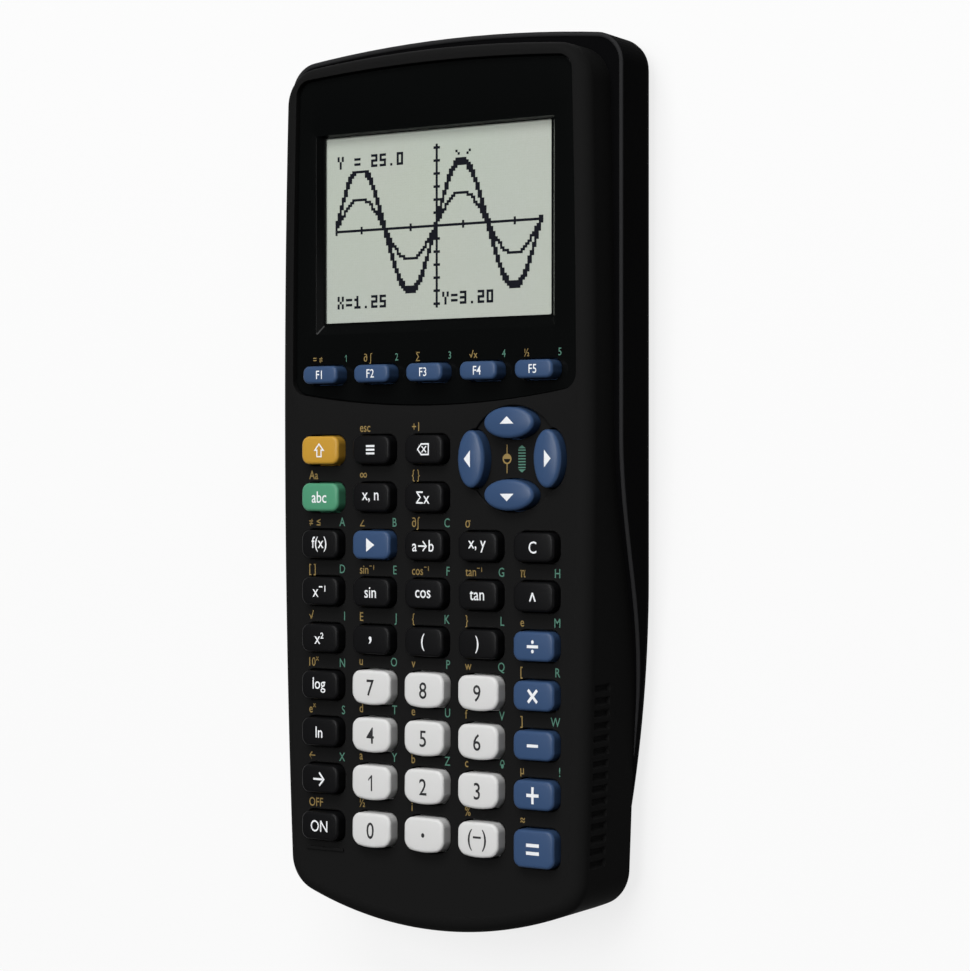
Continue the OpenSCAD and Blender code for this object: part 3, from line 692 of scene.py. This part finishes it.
LETTER_KEYS = ["key_math", "key_apps", "key_program", "key_reciprocal", "key_sin", "key_cos", "key_tan",
               "key_power", "key_square", "key_comma", "key_open_bracket", "key_close_bracket",
               "key_divide", "key_log", "key_7", "key_8", "key_9", "key_multiply", "key_ln", "key_4",
               "key_5", "key_6", "key_minus", "key_store", "key_1", "key_2", "key_3", "key_plus"]
GREEN_SIGNS = dict(zip(LETTER_KEYS, "ABCDEFGHIJKLMNOPQRSTUVWXYZθ!"))
PANEL_GOLD = {"key_f1": "= ≠", "key_f2": "∂ ∫", "key_f3": "∑", "key_f4": "√x", "key_f5": "½"}
PANEL_GREEN = {key: f"{number}" for number, key in enumerate(KEY_ROWS["function"], 1)}


def print_over_keys(skin, signs, from_left, z, capital=1.8 * MM):
    """Adds flat signs at a height, over the upper left or the upper right corner of their keys."""
    for key, text in signs.items():
        centre, half = key_size(key)
        points, faces = lettering(text, capital, 0.8, 0.004)
        base = centre[1] + min(half[1], 3.7 * MM) + 0.85 * MM
        left = centre[0] - half[0] + 0.5 * MM
        if not from_left:
            left = centre[0] + half[0] + 0.3 * MM - points[:, 0].max()
        skin.add(level(points + [left, base], z), faces)


def finish_print(skin, name, print_ink):
    """Makes all the print of one colour a single piece."""
    piece = skin.make(name, print_ink)
    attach(piece, "case")


gold_print, green_print = Skin(), Skin()
print_over_keys(gold_print, GOLD_SIGNS, True, face_z + print_rise)
print_over_keys(green_print, GREEN_SIGNS, False, face_z + print_rise)
print_over_keys(gold_print, PANEL_GOLD, True, panel_high[2] + print_rise, 1.5 * MM)
print_over_keys(green_print, PANEL_GREEN, False, panel_high[2] + print_rise, 1.5 * MM)


def print_in_dish(skin, middle, shape, faces):
    """Adds a flat shape, in millimetres about a middle, to the floor of the dish."""
    skin.add(level(middle + np.array(shape) * MM, face_z - dish_drop + print_rise), faces)


def bar_shape(x, y0, y1):
    """A bar as wide as x to both sides of the middle."""
    return [[-x, y0], [x, y0], [x, y1], [-x, y1]]


# Contrast sign: a disc whose upper half is full, with a stem above and below.
disc_at, bars_at = pad_centre + [-1.75 * MM, 0], pad_centre + [1.75 * MM, 0]
half_turn = np.linspace(0, math.pi, 24)
half_ring = np.stack([np.cos(half_turn), np.sin(half_turn)], axis=1)
print_in_dish(gold_print, disc_at, half_ring * 1.05, [tuple(range(24))])
strip = [(i, i + 1, i + 25, i + 24) for i in range(23)]
print_in_dish(gold_print, disc_at, -np.concatenate([half_ring * 1.05, half_ring * 0.75]), strip)
print_in_dish(gold_print, disc_at, bar_shape(0.1, 1.05, 2.9), [(0, 1, 2, 3)])
print_in_dish(gold_print, disc_at, bar_shape(0.1, -2.9, -1.05), [(0, 1, 2, 3)])
# Scroll sign: a ladder of short bars between two arrow tips.
for step in range(-3, 4):
    rung = bar_shape(0.85, step * 0.58 - 0.13, step * 0.58 + 0.13)
    print_in_dish(green_print, bars_at, rung, [(0, 1, 2, 3)])
for up in (1, -1):
    print_in_dish(green_print, bars_at, np.array([[-0.85, 2.1], [0.85, 2.1], [0, 2.75]]) * up, [(0, 1, 2)])
finish_print(gold_print, "print_gold", ink_gold)
finish_print(green_print, "print_green", ink_green)

# ---------------------------------------------------------------------------
# Display: a liquid crystal of 95 by 63 cells under a clear window. It shows two
# sine curves about a pair of axes, and a few plain numbers.
# ---------------------------------------------------------------------------
film_top = window_top - 0.25 * MM
cells_y = 52.8 * MM
COLUMNS, ROWS, CELL = 95, 63, 0.536 * MM
MIDDLE_COLUMN, MIDDLE_ROW = COLUMNS // 2, ROWS // 2
# Five rows of three cells for each sign. A digit from 0 to 7 is one row, its bits from left to right.
SMALL_DIGITS = {"0": "75557", "1": "26227", "2": "71747", "3": "71717", "4": "55711", "5": "74717",
                "6": "74757", "7": "71111", "8": "75757", "9": "75717", "x": "55255", "y": "55222",
                "=": "07070", ".": "00002", " ": "00000"}


def crystal():
    """Grey-green reflective film: its cells show as a faint grid, and it clouds a little."""
    material = bpy.data.materials.new("crystal")
    material.use_nodes = True
    nodes, links = material.node_tree.nodes, material.node_tree.links
    shader = nodes["Principled BSDF"]
    shader.inputs["Roughness"].default_value = 0.45
    shader.inputs["Specular IOR Level"].default_value = 0.2
    place = nodes.new("ShaderNodeTexCoord")
    grid = nodes.new("ShaderNodeTexBrick")
    grid.offset = 0
    grid.inputs["Scale"].default_value = 1 / CELL
    for name, value in (("Brick Width", 1.0), ("Row Height", 1.0), ("Mortar Size", 0.03), ("Bias", 0.0)):
        grid.inputs[name].default_value = value
    grid.inputs["Color1"].default_value = srgb(192, 199, 189)
    grid.inputs["Color2"].default_value = srgb(190, 197, 186)
    grid.inputs["Mortar"].default_value = srgb(181, 187, 177)
    cloud = nodes.new("ShaderNodeTexNoise")
    cloud.inputs["Scale"].default_value = 30
    tint = nodes.new("ShaderNodeMix")
    tint.data_type = "RGBA"
    tint.blend_type = "MULTIPLY"
    tint.inputs["Factor"].default_value = 0.06
    links.new(place.outputs["Object"], grid.inputs["Vector"])
    links.new(place.outputs["Object"], cloud.inputs["Vector"])
    links.new(grid.outputs["Color"], tint.inputs["A"])
    links.new(cloud.outputs["Color"], tint.inputs["B"])
    links.new(tint.outputs["Result"], shader.inputs["Base Color"])
    return material


def slab(x0, x1, y0, y1, z0, z1, radius):
    """A sheet with rounded corners in plan and a small bevel round its top."""
    skin = Skin()
    loops = [level(box_loop(x0 + s, x1 - s, y0 + s, y1 - s, radius - s), z)
             for s, z in ((0, z0), (0, z1 - 0.1 * MM), (0.1 * MM, z1))]
    skin.loft(loops)
    skin.fill(loops[-1][:, :2], [], z1)
    skin.fill(loops[0][:, :2], [], z0, up=False)
    return skin


lcd_low, lcd_high = (np.array(corner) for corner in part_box("lcd_module"))
lcd = slab(lcd_low[0] + 1 * MM, lcd_high[0] - 1 * MM, lcd_low[1], lcd_high[1], lcd_low[2], film_top,
           0.6 * MM).make("liquid_crystal", crystal())
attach(lcd, "case")
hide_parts("lcd_module")


def lit_cells():
    """Which cells are dark, as a grid of rows from the top.

    Each curve lights, in every column, the rows from its own height to halfway to its neighbours',
    grown by its thickness. The axes cross in the middle, with a tick at each quarter period.
    """
    lit = np.zeros((ROWS, COLUMNS), bool)
    column, row = np.meshgrid(np.arange(COLUMNS), np.arange(ROWS))
    x = (np.arange(COLUMNS) - MIDDLE_COLUMN) / MIDDLE_COLUMN * 2 * math.pi
    for height, thick in ((24.5, 0.9), (12.5, 0.0)):
        y = MIDDLE_ROW - height * np.sin(x)
        low, high = np.minimum(y, np.roll(y, -1)), np.maximum(y, np.roll(y, -1))
        low[-1] = high[-1] = y[-1]
        lit |= (row >= np.round(low - thick)) & (row <= np.round(high + thick))
    lit[MIDDLE_ROW, :] = True
    lit[:, MIDDLE_COLUMN] = True
    ticks = MIDDLE_COLUMN + np.round(np.arange(-4, 5) * MIDDLE_COLUMN / 4).astype(int)
    lit[MIDDLE_ROW - 1, ticks] = lit[MIDDLE_ROW + 1, ticks] = True
    lit[1::5, MIDDLE_COLUMN - 1] = lit[1::5, MIDDLE_COLUMN + 1] = True
    # A cursor, four short arms that point at the crest right of the middle.
    crest_row, crest_column = MIDDLE_ROW - 25, MIDDLE_COLUMN + 12
    for step in (-3, -2, 2, 3):
        lit[crest_row + step, crest_column + step] = True
        lit[crest_row + step, crest_column - step] = True
    for text, top, left in (("y = 25.0", 2, 1), ("x=1.25", 57, 1), ("y=3.20", 57, 50)):
        lit[top - 1:top + 6, left - 1:left + 4 * len(text)] = False
        for place, sign in enumerate(text):
            for line, bits in enumerate(SMALL_DIGITS[sign]):
                for bit in range(3):
                    lit[top + line, left + 4 * place + bit] |= bool(int(bits) & (4 >> bit))
    return lit


def build_cells():
    """A square for every dark cell, 0.01 mm above the film."""
    row, column = np.nonzero(lit_cells())
    centre = np.stack([(column - MIDDLE_COLUMN) * CELL, cells_y + (MIDDLE_ROW - row) * CELL], axis=1)
    corner = np.array([[-1, -1], [1, -1], [1, 1], [-1, 1]]) * CELL * 0.5
    points = (centre[:, None] + corner).reshape(-1, 2)
    skin = Skin()
    skin.add(level(points, film_top + 0.01 * MM), np.arange(len(points)).reshape(-1, 4))
    cell_ink = plastic("cell_ink", (14, 16, 26), roughness=0.6, grain=0.05, specular=0.1, spread=0.05,
                       per_metre=1800.0)
    cells = skin.make("dark_cells", cell_ink, weld=1e-9)
    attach(cells, "case")


build_cells()


def clear_plastic():
    """Clear window: it lets nearly all light by and keeps a soft gloss."""
    material = plastic("clear_plastic", (24, 26, 25), roughness=0.12, grain=0.02, specular=0.3,
                       spread=0.04, per_metre=600.0)
    material.node_tree.nodes["Principled BSDF"].inputs["Alpha"].default_value = 0.05
    return material


pane = slab(window_low[0], window_high[0], window_low[1], window_high[1], window_top - 0.2 * MM,
            window_top, 0.6 * MM).make("window", clear_plastic())
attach(pane, "case")
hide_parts("display_window")

# ---------------------------------------------------------------------------
# Rear case, battery cover and screws: black plastic with a coarser grain than
# the front and a darker black as painted shade, and six dark screws. They keep the shape of their solids.
# ---------------------------------------------------------------------------
def dress(node, material):
    """Gives a carried-over solid its finish."""
    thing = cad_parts[node]
    if not thing.material_slots:
        thing.data.materials.append(material)
    for slot in thing.material_slots:
        slot.material = material


# Painted shade: the rear case and battery cover are a darker black than the front case, for the dim light
# on their walls.
rear_black_painted_shade = plastic("rear_black_painted_shade", (9, 9, 10), roughness=0.6, grain=0.3, specular=0.004, spread=0.1,
                     per_metre=1600.0)
dress("rear_case", rear_black_painted_shade)
dress("battery_cover", rear_black_painted_shade)


def blackened_steel():
    """Screw steel: metallic and dark, with a fine grain."""
    material = plastic("blackened_steel", (70, 70, 74), roughness=0.4, grain=0.1, specular=0.5,
                       spread=0.12, per_metre=900.0)
    material.node_tree.nodes["Principled BSDF"].inputs["Metallic"].default_value = 1
    return material


dress("case_screws", blackened_steel())

# ---------------------------------------------------------------------------
# Rim: a half-round bead moulded along the edge of the rear case, beside the
# parting line. It fades away where the two cases come flush. Its grey, far
# lighter than both cases, is a painted highlight: the light line along the lip.
# ---------------------------------------------------------------------------
# Painted highlight: the bead's grey is set well above the rear case's black so that it shows as a light
# line.
rim_painted_highlight = plastic("rim_painted_highlight", (40, 40, 41), roughness=0.5, grain=0.1, specular=0.03)
bead_width, bead_height = 0.9 * MM, 0.35 * MM


def rim_path():
    """Edge of the rear case from the lower right over the top to the lower left: arc, straight side,
    corner, arched top, and the same mirrored."""
    corner, bow = 6.5 * MM, top_radius
    half, high = rear_high[0], rear_high[1]
    drawn_in, arch = front_low[1] + 72.2 * MM, high - bow
    centre = np.array([half - corner, arch + math.sqrt((bow - corner) ** 2 - (half - corner) ** 2)])
    turn = math.atan2(centre[1] - arch, centre[0])
    y = np.linspace(drawn_in - 36 * MM, drawn_in, 60)
    right = np.concatenate([
        np.column_stack([half - bow + np.sqrt(bow**2 - (y - drawn_in) ** 2), y]),
        np.column_stack([np.full(80, half), np.linspace(drawn_in, centre[1], 82)[1:-1]]),
        arc(centre, corner, 0, turn, 24),
        arc((0, arch), bow, turn, math.pi / 2, 60),
        [[0, high]],
    ])
    return np.concatenate([right, right[:-1][::-1] * [-1, 1]])


def build_rim():
    """A half ellipse carried along the edge: at an angle a from 0 to 180 degrees, width (1 - cos a) / 2
    in from its outer side and height sin a above the ledge. Both grow with the root of the distance
    from the two ends, up to their full size."""
    path = rim_path()
    along = np.gradient(path, axis=0)
    along /= np.linalg.norm(along, axis=1)[:, None]
    inward = np.column_stack([-along[:, 1], along[:, 0]])
    full = np.sqrt(np.clip((path[:, 1] - path[0, 1]) / (18 * MM), 0, 1))[:, None]
    rows = []
    for a in np.radians(np.linspace(0, 180, 11)):
        row = path + inward * (0.1 * MM + bead_width / 2 * (1 - math.cos(a)) * full)
        rise = bead_height * math.sin(a) * full[:, 0]
        rows.append(level(row, part_line(row[:, 1]) + rise - 0.03 * MM))
    skin = Skin()
    skin.loft(rows + [rows[0]], closed=False)
    return skin.make("rear_rim", rim_painted_highlight, smooth_angle=60)


rim_piece = build_rim()
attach(rim_piece, "case")

# ---------------------------------------------------------------------------
# Cells, circuit board and rubber mat inside. The four cells have a dark wrap
# and a copper-coloured band. The board is green, with plated contacts.
# ---------------------------------------------------------------------------
def two_tone(name, first, second, axis, at, width, roughness):
    """Two colours that meet at a place along an axis, over the mould's grain. A mask runs from the
    first to the second over that width."""
    material = plastic(name, first, roughness, grain=0.1, specular=0.4)
    nodes, links = material.node_tree.nodes, material.node_tree.links
    place = nodes.new("ShaderNodeTexCoord")
    split = nodes.new("ShaderNodeSeparateXYZ")
    share = nodes.new("ShaderNodeMapRange")
    share.inputs["From Min"].default_value = at
    share.inputs["From Max"].default_value = at + width
    mix = nodes.new("ShaderNodeMix")
    mix.data_type = "RGBA"
    mix.inputs["A"].default_value = srgb(*first)
    mix.inputs["B"].default_value = srgb(*second)
    links.new(place.outputs["Object"], split.inputs[0])
    links.new(split.outputs[axis], share.inputs["Value"])
    links.new(share.outputs["Result"], mix.inputs["Factor"])
    links.new(mix.outputs["Result"], nodes["Principled BSDF"].inputs["Base Color"])
    return material


board_top, cells_end = float(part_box("circuit_board")[1][2]), float(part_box("batteries")[1][1])
dress("circuit_board", two_tone("board_and_contacts", (196, 196, 190), (38, 92, 60), "Z",
                                at=board_top - 3.2 * MM, width=0.05 * MM, roughness=0.4))
dress("batteries", two_tone("cell_wrap", (168, 104, 58), (30, 30, 34), "Y",
                            at=cells_end - 34 * MM, width=0.1 * MM, roughness=0.3))
dress("keypad_mat", plastic("mat_rubber", (104, 105, 108), roughness=0.7, grain=0.3, specular=0.2,
                            spread=0.1, per_metre=1400.0))

# ---------------------------------------------------------------------------
# Studio: a white floor, soft boxes to the right and beyond the top, and a dim
# sky. The floor is white to the eye and keeps the calculator's shadow.
# ---------------------------------------------------------------------------
def white_room(nodes, links, strength):
    """Emission that only the camera, mirrors and glass see."""
    path = nodes.new("ShaderNodeLightPath")
    glow = nodes.new("ShaderNodeEmission")
    first, second, third = (nodes.new("ShaderNodeMath") for _ in range(3))
    first.operation = second.operation = "MAXIMUM"
    third.operation = "MULTIPLY"
    third.inputs[1].default_value = strength
    links.new(path.outputs["Is Camera Ray"], first.inputs[0])
    links.new(path.outputs["Is Glossy Ray"], first.inputs[1])
    links.new(first.outputs[0], second.inputs[0])
    links.new(path.outputs["Is Transmission Ray"], second.inputs[1])
    links.new(second.outputs[0], third.inputs[0])
    links.new(third.outputs[0], glow.inputs["Strength"])
    return glow


def make_floor():
    """A dull grey plane that also glows white for the camera, so that shadows still show on it."""
    mesh = bpy.data.meshes.new("floor")
    mesh.from_pydata([(-4, -4, 0), (4, -4, 0), (4, 4, 0), (-4, 4, 0)], [], [(0, 1, 2, 3)])
    floor = bpy.data.objects.new("floor", mesh)
    scene.collection.objects.link(floor)
    material = bpy.data.materials.new("floor_white")
    material.use_nodes = True
    nodes, links = material.node_tree.nodes, material.node_tree.links
    shader = nodes["Principled BSDF"]
    shader.inputs["Base Color"].default_value = (0.15, 0.15, 0.15, 1)
    shader.inputs["Roughness"].default_value = 1
    shader.inputs["Specular IOR Level"].default_value = 0
    glow = white_room(nodes, links, strength=0.8)
    both = nodes.new("ShaderNodeAddShader")
    links.new(shader.outputs[0], both.inputs[0])
    links.new(glow.outputs[0], both.inputs[1])
    links.new(both.outputs[0], nodes["Material Output"].inputs["Surface"])
    mesh.materials.append(material)


make_floor()


def soft_box(name, place, size, power):
    """A rectangular lamp turned to the middle of the floor, its size in metres, its power in watts."""
    lamp = bpy.data.lights.new(name, "AREA")
    lamp.shape = "RECTANGLE"
    lamp.size, lamp.size_y = size
    lamp.energy = power
    thing = bpy.data.objects.new(name, lamp)
    thing.location = place
    thing.rotation_euler = (-Vector(place)).to_track_quat("-Z", "Y").to_euler()
    scene.collection.objects.link(thing)


soft_box("lamp_right", (1.3, 0.5, 1.5), (1.0, 1.6), 2.5)
soft_box("lamp_top", (0.1, 1.5, 1.3), (1.6, 0.9), 26)
soft_box("lamp_over", (0.0, 0.4, 1.9), (1.0, 1.0), 26)

world = bpy.data.worlds.new("room")
scene.world = world
world.use_nodes = True
world.node_tree.nodes["Background"].inputs["Color"].default_value = (1, 1, 1, 1)
world.node_tree.nodes["Background"].inputs["Strength"].default_value = 0.06
scene.view_settings.view_transform = "Standard"
